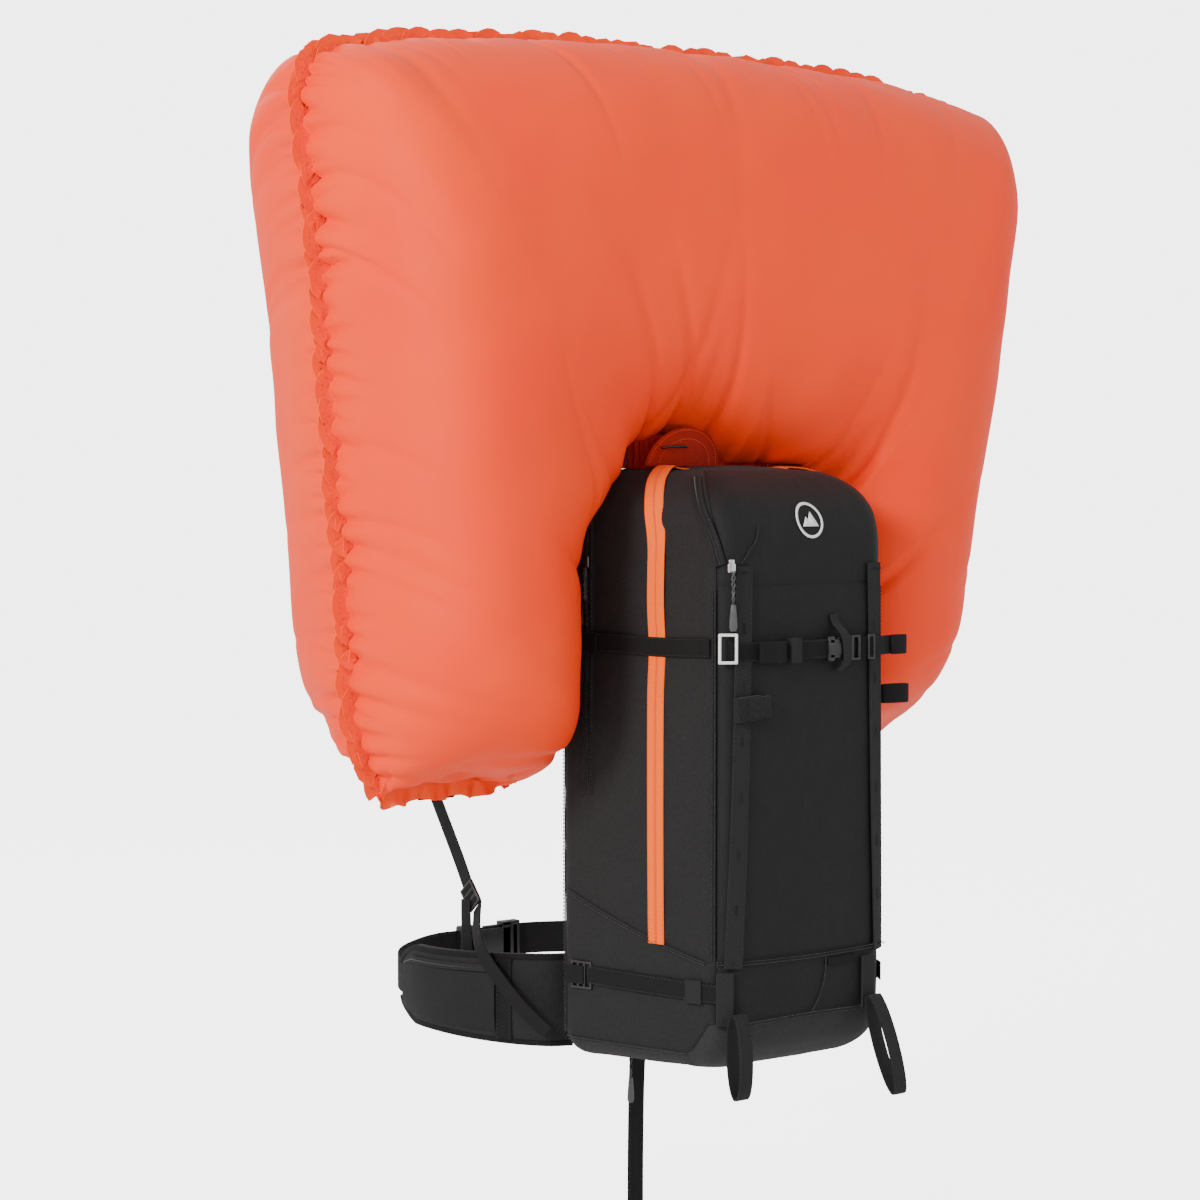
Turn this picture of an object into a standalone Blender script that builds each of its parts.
"""Avalanche airbag backpack: a 45 litre pack, its harness, and the inflated airbag above it.

Metres. X points to the wearer's right, Y the way the wearer faces, and Z up. The origin is the middle
of the lumbar pad's face, which rests on the wearer's lower back.
"""
from math import cos, pi, radians, sin, sqrt

import bmesh
import bpy
from mathutils import Matrix, Vector

GAP = 0.0003                      # between touching pieces

# pack bag
BACK_Y = -0.020                   # the bag's face towards the wearer
FRONT_Y = -0.240
BOTTOM_Z = -0.050
TOP_Z = 0.570
BOOT_Z = -0.012                   # top of the base boot
BACK_HALF = 0.160                 # half width at the back
FRONT_HALF = 0.115
FABRIC = 0.004                    # laminated wall, padded
BOTTOM_R = 0.060
TOP_R = 0.080
SIDE_TOP_R = 0.045
CORNER_R = 0.030

# the gear pocket's flap
LID_Z = 0.452
LID_BACK_Y = -0.165
LID_HALF = 0.100

# back and harness
PAD = 0.017
STRAP_WIDE = 0.065
STRAP_THICK = 0.012
WEB = 0.0016                      # webbing thickness
SHOULDER = [(0.055, 0.006, 0.495), (0.060, 0.028, 0.522), (0.075, 0.070, 0.535), (0.100, 0.140, 0.505),
            (0.128, 0.205, 0.420), (0.145, 0.220, 0.320), (0.165, 0.200, 0.200)]
LOWER_WEB = [(0.166, -0.012, -0.030), (0.184, 0.010, -0.004), (0.195, 0.036, 0.024), (0.2005, 0.058, 0.048),
             (0.196, 0.076, 0.068), (0.1760, 0.103, 0.092)]
UPPER_WEB = [(0.1745, 0.125, 0.115), (0.170, 0.150, 0.142), (0.165, 0.205, 0.208)]
LOCK_AT = (0.1775, 0.114, 0.1025)
HIP = [(0.125, -0.001, 0.0), (0.150, 0.012, 0.0), (0.178, 0.048, 0.0), (0.200, 0.100, 0.0),
       (0.207, 0.155, 0.0), (0.199, 0.210, 0.0)]
HIP_WEB = [(0.1975, 0.2155, 0.0), (0.182, 0.252, 0.0), (0.150, 0.294, 0.0), (0.105, 0.327, 0.0),
           (0.066, 0.3445, 0.0)]
HIP_TALL = 0.100
HIP_THICK = 0.016
HIP_WEB_WIDE = 0.038

# airbag
AIRBAG_Y = 0.016                  # the seam's plane
AIRBAG_HALF_THICK = 0.190
AIRBAG_TOP = 1.022
AIRBAG_HALF = 0.458
ARCH_Z = 0.606
ARCH_HALF = 0.172
ARCH_DROP = 0.085                 # the arch is this much lower where the legs begin
TOP_SHARE = 0.42                  # share of each half of the airbag that lies along its top
CORNER_SHARE = 0.16               # share of each leg that rounds the upper corner
TOP_SAG = 0.030                   # the top seam is this much lower at the corners
CORNER_DROP = 0.055
LEG_BOTTOM = 0.235
LEG_TAPER = 0.065
LEG_THINNER = 0.05                # share by which the legs get thinner
LEG_LEAN = {-1: 0.010, 1: 0.055}  # the legs' ends hang further forward, the right one more
LENS_POWER = 0.8                  # below 1 the section is squarer than an ellipse

SIDES = {"left": -1, "right": 1}

for old in list(bpy.data.objects):
    bpy.data.objects.remove(old, do_unlink=True)

parts = bpy.data.collections.new("avalanche_airbag_backpack")
cutters = bpy.data.collections.new("cutters")
bpy.context.scene.collection.children.link(parts)
bpy.context.scene.collection.children.link(cutters)


def material(name, colour, roughness, metallic=0.0):
    made = bpy.data.materials.new(name)
    made.use_nodes = True
    shader = made.node_tree.nodes["Principled BSDF"]
    shader.inputs["Base Color"].default_value = (*colour, 1)
    shader.inputs["Roughness"].default_value = roughness
    shader.inputs["Metallic"].default_value = metallic
    return made


NYLON = material("black_nylon", (0.030, 0.030, 0.032), 0.75)
BASE = material("grey_base", (0.048, 0.048, 0.050), 0.8)
WEBBING = material("black_webbing", (0.012, 0.012, 0.013), 0.7)
BUCKLE = material("black_acetal", (0.015, 0.015, 0.016), 0.4)
FOAM = material("black_foam", (0.025, 0.025, 0.027), 0.85)
ORANGE = material("orange_airbag", (1.0, 0.145, 0.042), 0.45)
STRIPE = material("orange_zip_tape", (1.0, 0.19, 0.0), 0.6)
CUFF = material("red_cuff", (0.20, 0.010, 0.008), 0.7)
SHEET = material("frame_plastic", (0.25, 0.26, 0.27), 0.5)
ALUMINIUM = material("aluminium", (0.80, 0.81, 0.82), 0.35, 1.0)
STEEL = material("steel", (0.60, 0.60, 0.61), 0.3, 1.0)
WHITE = material("white_acetal", (0.82, 0.82, 0.80), 0.4)
RED = material("red_acetal", (0.60, 0.02, 0.02), 0.45)


def place(name, mesh, finish, smooth=False, collection=parts):
    """A new object holding a mesh."""
    made = bpy.data.objects.new(name, mesh)
    collection.objects.link(made)
    if finish:
        mesh.materials.append(finish)
    if smooth:
        mesh.shade_smooth()
        mesh.set_sharp_from_angle(angle=radians(35))
    return made


def to_mesh(shape, name):
    bmesh.ops.recalc_face_normals(shape, faces=shape.faces)
    mesh = bpy.data.meshes.new(name)
    shape.to_mesh(mesh)
    shape.free()
    return mesh


def box(name, low, high, finish, round_by=0.0, collection=parts):
    """A box between two corners, with its edges rounded."""
    low, high = Vector(low), Vector(high)
    shape = bmesh.new()
    bmesh.ops.create_cube(shape, size=1.0)
    bmesh.ops.scale(shape, vec=high - low, verts=shape.verts)
    made = place(name, to_mesh(shape, name), finish, collection=collection)
    made.location = (low + high) / 2
    if round_by:
        bevel = made.modifiers.new("round", "BEVEL")
        bevel.width = round_by
        bevel.segments = 1
    return made


def cylinder(name, radius, start, end, finish, sides=16, collection=parts):
    """A solid cylinder between two points."""
    start, end = Vector(start), Vector(end)
    shape = bmesh.new()
    bmesh.ops.create_cone(shape, cap_ends=True, segments=sides, radius1=radius, radius2=radius,
                          depth=(end - start).length)
    made = place(name, to_mesh(shape, name), finish, smooth=True, collection=collection)
    made.location = (start + end) / 2
    made.rotation_euler = (end - start).to_track_quat("Z", "Y").to_euler()
    return made


def loft(rings):
    """A closed mesh through rings of equal length, with both ends capped."""
    shape = bmesh.new()
    rows = [[shape.verts.new(point) for point in ring] for ring in rings]
    count = len(rows[0])
    for low, high in zip(rows, rows[1:]):
        for i in range(count):
            j = (i + 1) % count
            shape.faces.new((low[i], low[j], high[j], high[i]))
    shape.faces.new(rows[0])
    shape.faces.new(rows[-1])
    return shape


def ribbon(name, path, wide, thick, finish, across=(1, 0, 0)):
    """A flat strap: an open strip along a path, thickened to both sides. Across is its width's direction."""
    shape = bmesh.new()
    lean = across if isinstance(across, list) else [across] * len(path)
    edges = []
    for point, along in zip(path, lean):
        half = Vector(along).normalized() * (wide / 2)
        edges.append((shape.verts.new(Vector(point) - half), shape.verts.new(Vector(point) + half)))
    for (a, b), (c, d) in zip(edges, edges[1:]):
        shape.faces.new((a, b, d, c))
    made = place(name, to_mesh(shape, name), finish)
    thicken = made.modifiers.new("thickness", "SOLIDIFY")
    thicken.thickness = thick
    thicken.offset = 0.0
    thicken.use_even_offset = True
    return made


def cut_slot(made, middle, size):
    """Cut a box-shaped slot, placed in the object's own axes, right through it."""
    half = Vector(size) / 2
    slot = box(f"{made.name}_slot", -half, half, None, collection=cutters)
    slot.matrix_world = made.matrix_basis @ Matrix.Translation(middle)
    boolean(made, slot, "DIFFERENCE")


def mirrored(path, side):
    return [(side * x, y, z) for x, y, z in path]


def boolean(made, cutter, operation):
    """Cut, join or keep the shared part of two objects, and hide the cutter."""
    step = made.modifiers.new(operation.lower(), "BOOLEAN")
    step.operation = operation
    step.object = cutter
    cutter.hide_render = True
    cutter.display_type = "WIRE"


# ---------------------------------------------------------------- pack bag


def quarter(distance, radius):
    """How far a surface has rounded off, at a distance past where its rounding starts."""
    reach = min(max(distance, 0.0), radius)
    return radius - sqrt(radius * radius - reach * reach)


def bag_section(z):
    """Front Y, back half width and front half width at one height."""
    front = FRONT_Y + quarter(BOTTOM_Z + BOTTOM_R - z, BOTTOM_R) + quarter(z - TOP_Z + TOP_R, TOP_R)
    narrow = quarter(BOTTOM_Z + CORNER_R - z, CORNER_R) + quarter(z - TOP_Z + SIDE_TOP_R, SIDE_TOP_R)
    return front, BACK_HALF - narrow, FRONT_HALF - narrow


def bag_ring(z):
    """The bag's outline at one height: a trapezium with rounded corners."""
    front, back_half, front_half = bag_section(z)
    back_half = max(back_half, front_half)
    corners = [(back_half, BACK_Y, 0), (-back_half, BACK_Y, 90),
               (-front_half, front, 180), (front_half, front, 270)]
    ring = []
    for x, y, turn in corners:
        centre_x = x - CORNER_R * (1 if x > 0 else -1)
        centre_y = y - CORNER_R * (1 if y > -0.1 else -1)
        for step in (0, 30, 60, 90):
            angle = radians(turn + step)
            ring.append((centre_x + CORNER_R * cos(angle), centre_y + CORNER_R * sin(angle), z))
    return ring


def side_x(y, z=0.3):
    """Half width of the bag's side wall at a depth and a height."""
    front, back_half, front_half = bag_section(z)
    share = (BACK_Y - CORNER_R - y) / (BACK_Y - front - 2 * CORNER_R)
    return back_half + (front_half - back_half) * min(max(share, 0.0), 1.0)


def bag_solid(name, heights, finish, collection=parts):
    return place(name, to_mesh(loft([bag_ring(z) for z in heights]), name), finish, collection=collection)


def bag_shell(name, finish):
    """The bag's fabric wall, all the way round."""
    heights = [BOOT_Z + GAP, 0.02, 0.06, 0.30, LID_Z - 0.01, 0.50, 0.525, 0.545, 0.560, TOP_Z]
    made = bag_solid(name, heights, finish)
    wall = made.modifiers.new("wall", "SOLIDIFY")
    wall.thickness = FABRIC
    wall.offset = -1.0
    wall.use_even_offset = True
    return made


pack_bag = bag_shell("pack_bag", NYLON)
mouth = box("lid_mouth", (-LID_HALF, FRONT_Y - 0.05, LID_Z), (LID_HALF, LID_BACK_Y, TOP_Z + 0.05), None,
            collection=cutters)
boolean(pack_bag, mouth, "DIFFERENCE")

pocket_lid = bag_shell("pocket_lid", NYLON)
flap = box("lid_region", (-LID_HALF + GAP, FRONT_Y - 0.05, LID_Z + GAP),
           (LID_HALF - GAP, LID_BACK_Y - GAP, TOP_Z + 0.05), None, collection=cutters)
boolean(pocket_lid, flap, "INTERSECT")

base_boot = bag_solid("base_boot", [BOTTOM_Z, -0.044, -0.032, BOOT_Z], BASE)

box("compartment_divider", (-0.100, -0.172, BOOT_Z + 0.006), (0.100, -0.170, 0.400), NYLON)
box("frame_sheet", (-0.120, -0.0285, 0.000), (0.120, -0.0265, 0.500), SHEET)
box("frame_stay", (-0.012, -0.0325, 0.010), (0.012, -0.0290, 0.490), ALUMINIUM)

# zip tape up both sides and over the top, following the wall
ZIP_Y = -0.156
ZIP_WIDE = 0.023
SIDE_SLOPE = (BACK_HALF - FRONT_HALF) / (BACK_Y - FRONT_Y - 2 * CORNER_R)
LIFT = 0.0012                     # webbing and tape lie this far off the wall
side_top = TOP_Z - SIDE_TOP_R
over = [(side_x(ZIP_Y, z) + LIFT + WEB, ZIP_Y, z) for z in (0.077, 0.25, 0.40, side_top)]
for turn in (30, 60, 90):
    angle = radians(turn)
    reach = SIDE_TOP_R + LIFT + WEB
    over.append((side_x(ZIP_Y) - SIDE_TOP_R + reach * cos(angle), ZIP_Y, side_top + reach * sin(angle)))
lean = [(SIDE_SLOPE, 1, 0)] * 4 + [(SIDE_SLOPE * 0.8, 1, 0), (SIDE_SLOPE * 0.4, 1, 0), (0, 1, 0)]
clamshell = over + [(-x, y, z) for x, y, z in reversed(over)]
lean += [(-x, y, z) for x, y, z in reversed(lean)]
ribbon("clamshell_zip", clamshell, ZIP_WIDE, WEB, STRIPE, across=lean)

# ---------------------------------------------------------------- back pads and harness

box("lumbar_pad", (-0.100, BACK_Y + GAP, -0.046), (0.100, 0.0, 0.050), FOAM, round_by=0.006)
for side, sign in SIDES.items():
    inner, outer = sorted((sign * 0.022, sign * 0.105))
    box(f"back_pad_{side}", (inner, BACK_Y + GAP, 0.075), (outer, BACK_Y + PAD, 0.470), FOAM, round_by=0.006)


def path_at(path, share):
    """A point part of the way along a path."""
    place_on = share * (len(path) - 1)
    start = min(int(place_on), len(path) - 2)
    return Vector(path[start]).lerp(Vector(path[start + 1]), place_on - start)


for side, sign in SIDES.items():
    strap = [path_at(mirrored(SHOULDER, sign), i / 12) for i in range(13)]
    foam = ribbon(f"shoulder_strap_{side}", strap, STRAP_WIDE, STRAP_THICK, FOAM)
    lean = (sign * 0.6, -0.5, 0.5)
    sewn = ribbon(f"strap_web_{side}", mirrored(UPPER_WEB, sign), 0.020, 0.002, None, across=lean)
    boolean(foam, sewn, "UNION")
    ribbon(f"lower_webbing_{side}", mirrored(LOWER_WEB, sign), 0.020, WEB, WEBBING, across=(0, -0.7, 0.7))
    half = Vector((0.0025, 0.013, 0.0145))
    lock = box(f"ladder_lock_{side}", -half, half, BUCKLE, round_by=0.001)
    lock.location = (sign * LOCK_AT[0], LOCK_AT[1], LOCK_AT[2])
    lock.rotation_euler = (radians(45), 0, 0)
    for height in (-0.0065, 0.0065):
        cut_slot(lock, (0, 0, height), (0.012, 0.020, 0.005))

    fin = mirrored(HIP, sign)
    ribbon(f"hip_fin_{side}", fin, HIP_TALL, HIP_THICK, FOAM, across=(0, 0, 1))
    last = (0.0420, 0.345, 0.0) if side == "right" else (0.0365, 0.345, 0.0)
    belt = mirrored(HIP_WEB + [last], sign)
    ribbon(f"hip_webbing_{side}", belt, HIP_WEB_WIDE, WEB, WEBBING, across=(0, 0, 1))


TONGUE = 0.024                    # how far a plug reaches into its socket


def buckle_socket(name, centre, size, finish=BUCKLE):
    """A side-release socket, open towards +X."""
    centre, half = Vector(centre), Vector(size) / 2
    made = box(name, centre - half, centre + half, finish, round_by=0.0015)
    room = box(f"{name}_room", centre - Vector((half.x - 0.004, half.y - 0.0018, half.z - 0.003)),
               centre + Vector((half.x + 0.01, half.y - 0.0018, half.z - 0.003)), None, collection=cutters)
    boolean(made, room, "DIFFERENCE")
    return made


def buckle_plug(name, centre, size, web, finish=BUCKLE):
    """A plug whose tongue lies in the socket, with a way through its body for the webbing."""
    centre, half = Vector(centre), Vector(size) / 2
    start = centre.x + half.x + GAP
    body_long = 0.014
    made = box(name, (start, centre.y - half.y, centre.z - half.z),
               (start + body_long, centre.y + half.y, centre.z + half.z), finish)
    slim, low = half.y - 0.0035, half.z - 0.006
    tongue = box(f"{name}_tongue", (centre.x + half.x - TONGUE, centre.y - slim, centre.z - low),
                 (start + 0.002, centre.y + slim, centre.z + low), None, collection=cutters)
    boolean(made, tongue, "UNION")
    tall = web / 2 + 0.0008
    way = box(f"{name}_way", (start + 0.004, centre.y - WEB, centre.z - tall),
              (start + body_long + 0.01, centre.y + WEB, centre.z + tall), None, collection=cutters)
    boolean(made, way, "DIFFERENCE")
    return start + 0.005


STERNUM = Vector((0.0, 0.236, 0.400))
STERNUM_SIZE = (0.030, 0.010, 0.026)
buckle_socket("sternum_socket", STERNUM, STERNUM_SIZE)
sternum_web_end = buckle_plug("sternum_plug", STERNUM, STERNUM_SIZE, 0.020)
sternum_edge = STERNUM_SIZE[0] / 2 + GAP
for side, sign, last_x in (("left", -1, sternum_edge), ("right", 1, sternum_web_end)):
    across_chest = [(0.126, 0.2255), (0.090, 0.232), (0.050, STERNUM.y), (last_x, STERNUM.y)]
    route = [(sign * x, y, STERNUM.z) for x, y in across_chest]
    ribbon(f"sternum_webbing_{side}", route, 0.020, WEB, WEBBING, across=(0, 0, 1))

HIP_BUCKLE = Vector((0.0, 0.345, 0.0))
HIP_BUCKLE_SIZE = (0.072, 0.014, 0.048)
buckle_socket("hip_buckle_socket", HIP_BUCKLE, HIP_BUCKLE_SIZE)
buckle_plug("hip_buckle_plug", HIP_BUCKLE, HIP_BUCKLE_SIZE, HIP_WEB_WIDE)

# trigger on the left shoulder strap
HANDLE_X = -0.137
HANDLE_Y = 0.2405


def upright(name, x, y, half_x, half_y, low, high, finish, round_by=0.0, collection=parts):
    """A box standing on a point, between two heights."""
    low_corner = (x - half_x, y - half_y, low)
    high_corner = (x + half_x, y + half_y, high)
    return box(name, low_corner, high_corner, finish, round_by, collection)


housing = upright("trigger_housing", HANDLE_X, HANDLE_Y, 0.016, 0.009, 0.330, 0.385, BUCKLE, round_by=0.003)
bore = upright("trigger_bore", HANDLE_X, HANDLE_Y, 0.006, 0.005, 0.310, 0.378, None, collection=cutters)
boolean(housing, bore, "DIFFERENCE")
handle = upright("trigger_handle", HANDLE_X, HANDLE_Y, 0.0045, 0.0035, 0.300, 0.374, RED)
grip_left = (HANDLE_X - 0.042, HANDLE_Y, 0.312)
grip_right = (HANDLE_X + 0.042, HANDLE_Y, 0.312)
grip = cylinder("trigger_grip", 0.010, grip_left, grip_right, None, sides=12, collection=cutters)
boolean(handle, grip, "UNION")

# ---------------------------------------------------------------- airbag


def leg_shares(share):
    """The side (-1 left, 1 right), and the shares run along the top and down the leg (0 to 1)."""
    turn = (share - 0.5) * 2
    run = abs(turn)
    along_top = min(run / TOP_SHARE, 1.0)
    down_leg = max(run - TOP_SHARE, 0.0) / (1 - TOP_SHARE)
    return (1 if turn > 0 else -1), along_top, down_leg


def airbag_edges(share):
    """The seam's inner and outer points, from the left leg's end (0) over the top to the right's (1)."""
    side, along_top, down_leg = leg_shares(share)
    if along_top < 1.0:
        turned = along_top * pi / 2
        inner = (ARCH_HALF * sin(turned) ** 0.8, ARCH_Z - ARCH_DROP * (1 - cos(turned)))
        outer = (AIRBAG_HALF * 0.93 * along_top, AIRBAG_TOP - TOP_SAG * along_top ** 3)
    else:
        leg_top = ARCH_Z - ARCH_DROP
        inner = (ARCH_HALF, leg_top - (leg_top - LEG_BOTTOM - 0.02) * down_leg)
        ease = min(down_leg / CORNER_SHARE, 1.0)
        lower = max(down_leg - CORNER_SHARE, 0.0) / (1 - CORNER_SHARE)
        below = AIRBAG_TOP - TOP_SAG - CORNER_DROP
        outer = (AIRBAG_HALF * (0.93 + 0.07 * sin(ease * pi / 2)) - LEG_TAPER * lower ** 1.2,
                 below + CORNER_DROP * cos(ease * pi / 2) - (below - LEG_BOTTOM - 0.02) * lower)
    return Vector((side * inner[0], 0, inner[1])), Vector((side * outer[0], 0, outer[1]))


def rounded(value, power):
    return abs(value) ** power * (1 if value > 0 else -1)


def airbag_ring(share):
    """One cut across the airbag: a fat, slightly squared lens between the inner and the outer seam."""
    inner, outer = airbag_edges(share)
    side, _, down_leg = leg_shares(share)
    middle, half = (inner + outer) / 2, (outer - inner) / 2
    end = min(share, 1 - share) * 26
    thick = AIRBAG_HALF_THICK * (1 - LEG_THINNER * down_leg) * (sqrt(end * (2 - end)) if end < 1 else 1.0)
    thick = max(thick, 0.012)
    depth = AIRBAG_Y + LEG_LEAN[side] * down_leg ** 1.5
    ring = []
    for step in range(14):
        angle = 2 * pi * step / 14
        bulge = Vector((0, depth + thick * rounded(sin(angle), LENS_POWER), 0))
        ring.append(middle + half * rounded(cos(angle), LENS_POWER) + bulge)
    drop = Vector((0, 0, 0.02 * (1 - min(end, 1.0))))
    return [point - drop for point in ring]


stations = [0, 0.008, 0.02, 0.04] + [0.04 + 0.92 * i / 30 for i in range(1, 30)] + [0.96, 0.98, 0.992, 1]
place("airbag", to_mesh(loft([airbag_ring(s) for s in stations]), "airbag"), ORANGE, smooth=True)

box("airbag_cuff", (-0.095, -0.085, TOP_Z + GAP), (0.095, -0.021, 0.591), CUFF, round_by=0.006)

# ---------------------------------------------------------------- gas system, inside the bag

BOTTLE_X = -0.070
BOTTLE_Y = -0.068
BOTTLE_R = 0.029


def bottle_cylinder(name, radius, low, high, finish, sides=12, collection=cutters):
    """A cylinder on the gas bottle's axis."""
    start, end = (BOTTLE_X, BOTTLE_Y, low), (BOTTLE_X, BOTTLE_Y, high)
    return cylinder(name, radius, start, end, finish, sides, collection)


bottle = bottle_cylinder("gas_cartridge", BOTTLE_R, 0.230, 0.385, STEEL, sides=20, collection=parts)
boolean(bottle, bottle_cylinder("bottle_neck", 0.011, 0.380, 0.400, None), "UNION")
head = upright("inflator_body", BOTTLE_X, BOTTLE_Y, 0.030, 0.028, 0.400 + GAP, 0.480, BUCKLE, round_by=0.004)
boolean(head, bottle_cylinder("pin_bore", 0.005, 0.390, 0.490, None), "DIFFERENCE")
bottle_cylinder("piercing_pin", 0.003, 0.416, 0.492, STEEL, sides=8, collection=parts)


def cord(name, points, diameter, finish):
    """A round cord along a smooth curve through its points."""
    points = [Vector(point) for point in points]
    ends = [points[0] * 2 - points[1]] + points + [points[-1] * 2 - points[-2]]
    route = []
    for a, b, c, d in zip(ends, ends[1:], ends[2:], ends[3:]):
        for step in range(4):
            t = step / 4
            route.append(0.5 * (2 * b + (c - a) * t + (2 * a - 5 * b + 4 * c - d) * t ** 2
                                + (3 * b - 3 * c + d - a) * t ** 3))
    route.append(points[-1])
    line = bpy.data.curves.new(name, "CURVE")
    line.dimensions = "3D"
    line.bevel_depth = diameter / 2
    line.bevel_resolution = 2
    line.use_fill_caps = True
    spline = line.splines.new("POLY")
    spline.points.add(len(route) - 1)
    for point, at in zip(spline.points, route):
        point.co = (*at, 1)
    made = bpy.data.objects.new(name, line)
    line.materials.append(finish)
    parts.objects.link(made)
    return made


cord("trigger_cable", [(BOTTLE_X, BOTTLE_Y, 0.4935), (BOTTLE_X, BOTTLE_Y, 0.512), (-0.066, -0.058, 0.528),
                       (-0.060, -0.042, 0.528), (-0.057, -0.032, 0.516)], 0.005, BUCKLE)

# ---------------------------------------------------------------- outside straps

STRAP20 = 0.020
DAISY_X = 0.090
FACE_Y = FRONT_Y - LIFT           # webbing on the front lies just off this plane


def wall_point(side, y, z, off):
    """A point off the bag's side wall."""
    return (side * (side_x(y, z) + off), y, z)


for side, sign in SIDES.items():
    # daisy chain down the front, near each corner
    daisy = [(sign * DAISY_X, FACE_Y - WEB / 2, height) for height in (0.450, 0.300, 0.180, 0.066)]
    ribbon(f"daisy_chain_{side}", daisy, STRAP20, WEB, WEBBING)
    # compression straps round each side to the front corner
    high_steps = ((-0.052, 0.0020), (-0.110, 0.0034), (-0.156, 0.0050), (-0.205, 0.0040))
    high = [wall_point(sign, y, 0.390, off) for y, off in high_steps]
    high.append((sign * 0.1125, -0.2295, 0.390))
    ribbon(f"upper_strap_{side}", high, STRAP20, WEB, WEBBING, across=(0, 0, 1))
    low_steps = ((-0.066, 0.0020), (-0.150, 0.0030), (-0.205, 0.0030))
    low = [wall_point(sign, y, 0.040, off) for y, off in low_steps]
    low.append((sign * 0.1150, -0.2290, 0.042))
    ribbon(f"lower_strap_{side}", low, STRAP20, WEB, WEBBING, across=(0, 0, 1))
    half = Vector((0.003, 0.0145, 0.014))
    lock = box(f"lower_buckle_{side}", -half, half, BUCKLE, round_by=0.001)
    lock.location = (sign * (side_x(-0.050, 0.040) + 0.0045), -0.050, 0.040)
    lock.rotation_euler = (0, 0, sign * -radians(11.5))
    for shift in (-0.006, 0.006):
        cut_slot(lock, (0, shift, 0), (0.012, 0.005, 0.021))

# white ring between the left side strap and the front strap
ring_outer = box("corner_ring", (-0.012, -0.0014, -0.0155), (0.012, 0.0014, 0.0155), WHITE, round_by=0.0007)
ring_outer.location = (-0.1140, -0.2440, 0.390)
ring_outer.rotation_euler = (0, 0, radians(-35))
cut_slot(ring_outer, (0, 0, 0), (0.018, 0.010, 0.025))

FRONT_STRAP_Z = 0.386
FRONT_BUCKLE = Vector((0.029, -0.2540, FRONT_STRAP_Z))
FRONT_BUCKLE_SIZE = (0.030, 0.009, 0.026)
buckle_socket("front_buckle_socket", FRONT_BUCKLE, FRONT_BUCKLE_SIZE)
front_web_end = buckle_plug("front_buckle_plug", FRONT_BUCKLE, FRONT_BUCKLE_SIZE, STRAP20)
buckle_edge = FRONT_BUCKLE.x - FRONT_BUCKLE_SIZE[0] / 2 - GAP
cross = [(-0.0965, -0.2470), (-0.070, -0.2500), (-0.040, -0.2535), (buckle_edge, -0.2540)]
cross = [(x, y, FRONT_STRAP_Z) for x, y in cross]
ribbon("front_cross_strap", cross, STRAP20, WEB, WEBBING, across=(0, 0, 1))
tail = [(front_web_end, -0.2540), (0.070, -0.2530), (0.090, -0.2500), (0.112, -0.2455), (0.135, -0.2440)]
ribbon("front_strap_tail", [(x, y, FRONT_STRAP_Z) for x, y in tail], STRAP20, WEB, WEBBING, across=(0, 0, 1))

keeper_low = (-0.1030, FACE_Y - 0.0110, 0.318)
keeper_high = (-0.0600, FACE_Y - 0.0020, 0.340)
box("axe_keeper", keeper_low, keeper_high, WEBBING, round_by=0.002)
side_loop = [(0.1180, -0.2300, 0.333), (0.135, -0.2350, 0.333), (0.1440, -0.2370, 0.333)]
ribbon("side_loop_right", side_loop, STRAP20, 0.004, WEBBING, across=(0, 0, 1))


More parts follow.
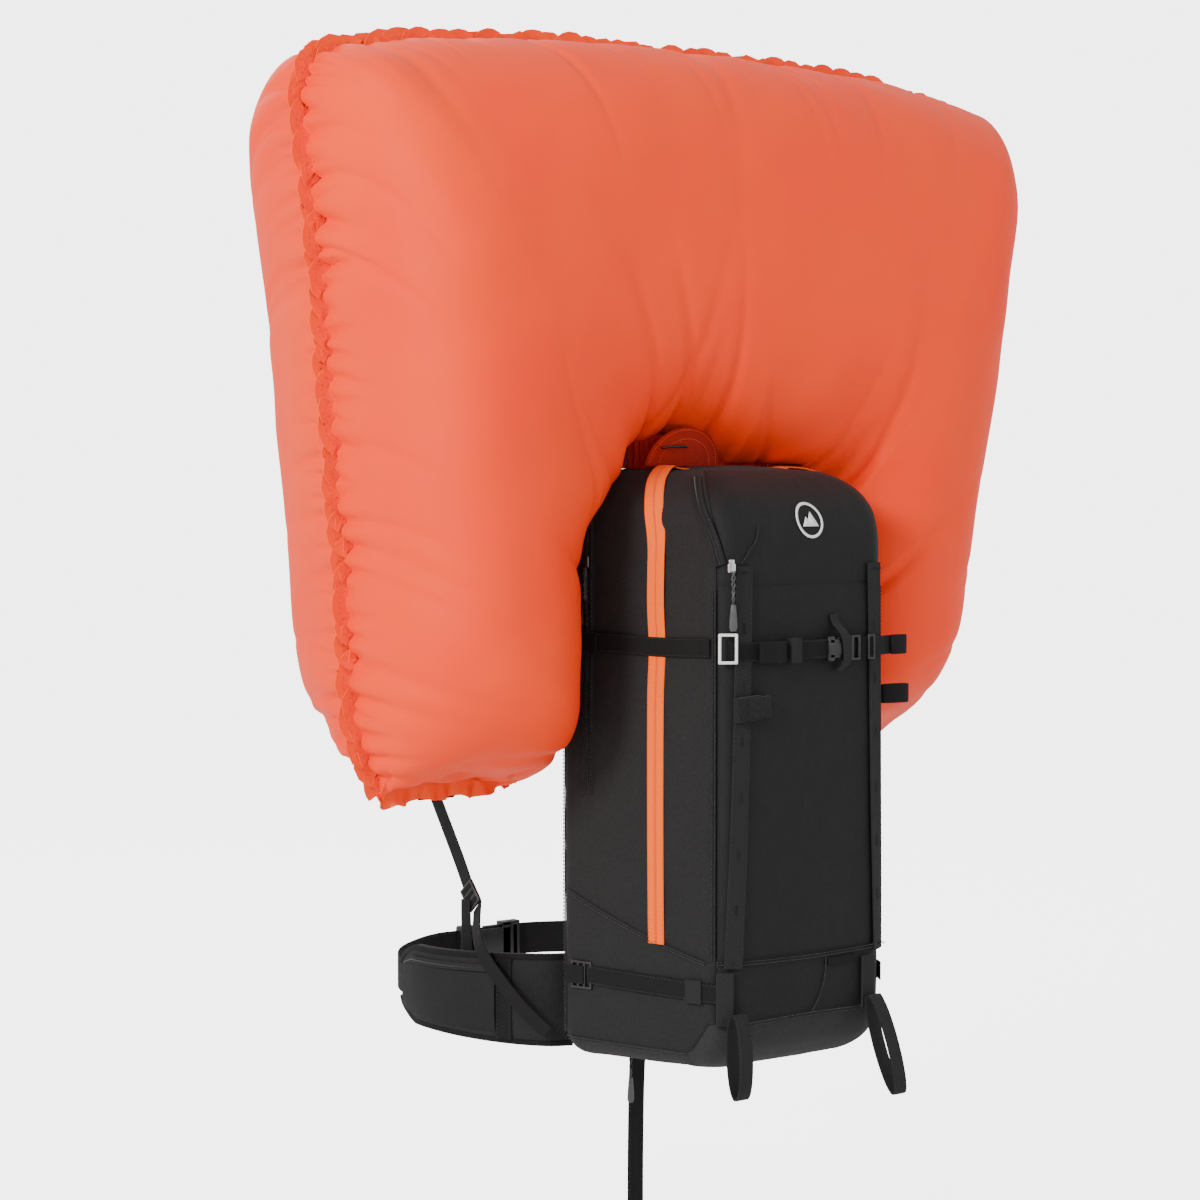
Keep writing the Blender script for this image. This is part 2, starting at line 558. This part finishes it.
def loop_strap(name, top, tip, wide, spread=0.011):
    """A hanging oval loop of webbing, from its top to its tip, open by a sliver where it is sewn."""
    top, tip = Vector(top), Vector(tip)
    middle, reach = (top + tip) / 2, (top - tip) / 2
    side = Vector((1, 0, 0)).cross(reach).normalized() * spread
    turns = [radians(22 + 316 * step / 12) for step in range(13)]
    oval = [middle + reach * cos(turn) + side * sin(turn) for turn in turns]
    return ribbon(name, oval, wide, WEB, WEBBING)


loop_strap("axe_loop_left", (-0.104, -0.2560, 0.020), (-0.104, -0.2600, -0.066), 0.018)
loop_strap("axe_loop_right", (0.080, -0.2560, 0.020), (0.080, -0.2960, -0.078), 0.018)
loop_strap("haul_loop", (0.000, -0.0040, 0.500), (0.000, 0.0000, 0.448), 0.022, spread=0.010)

# ---------------------------------------------------------------- zips

side_zip_x = -(side_x(-0.076, 0.475) + 0.0045)
FRONT_ZIP_X = -0.1055
BASE_ZIP_X = -0.0610
upright("side_zip_slider", side_zip_x, -0.076, 0.0025, 0.005, 0.467, 0.481, STEEL, round_by=0.001)
upright("side_zip_puller", side_zip_x - 0.00625, -0.076, 0.00175, 0.006, 0.408, 0.466, BUCKLE, round_by=0.001)
upright("front_zip_slider", FRONT_ZIP_X, FACE_Y - 0.00325, 0.0045, 0.00275, 0.467, 0.480, STEEL,
        round_by=0.001)
upright("front_zip_puller", FRONT_ZIP_X, FACE_Y - 0.00575, 0.0040, 0.00275, 0.408, 0.4665, BUCKLE,
        round_by=0.001)
upright("base_zip_slider", BASE_ZIP_X, -0.023, 0.005, 0.007, BOTTOM_Z - 0.0055, BOTTOM_Z - 0.0005, STEEL,
        round_by=0.001)
upright("base_zip_puller", BASE_ZIP_X, -0.0225, 0.003, 0.002, -0.118, BOTTOM_Z - 0.0075, BUCKLE,
        round_by=0.001)

# ---------------------------------------------------------------- leg strap

LEG_X = -0.0400
leg_path = [(-0.0100, BOTTOM_Z - 0.0020), (-0.0060, -0.100), (-0.0040, -0.190), (-0.0040, -0.270)]
ribbon("leg_strap", [(LEG_X, y, z) for y, z in leg_path], 0.022, WEB, WEBBING)
hook = upright("leg_hook", LEG_X, -0.004, 0.014, 0.0025, -0.318, -0.2732, ALUMINIUM, round_by=0.001)
hook_eye = upright("hook_eye", LEG_X, -0.004, 0.0085, 0.008, -0.312, -0.282, None, collection=cutters)
boolean(hook, hook_eye, "DIFFERENCE")
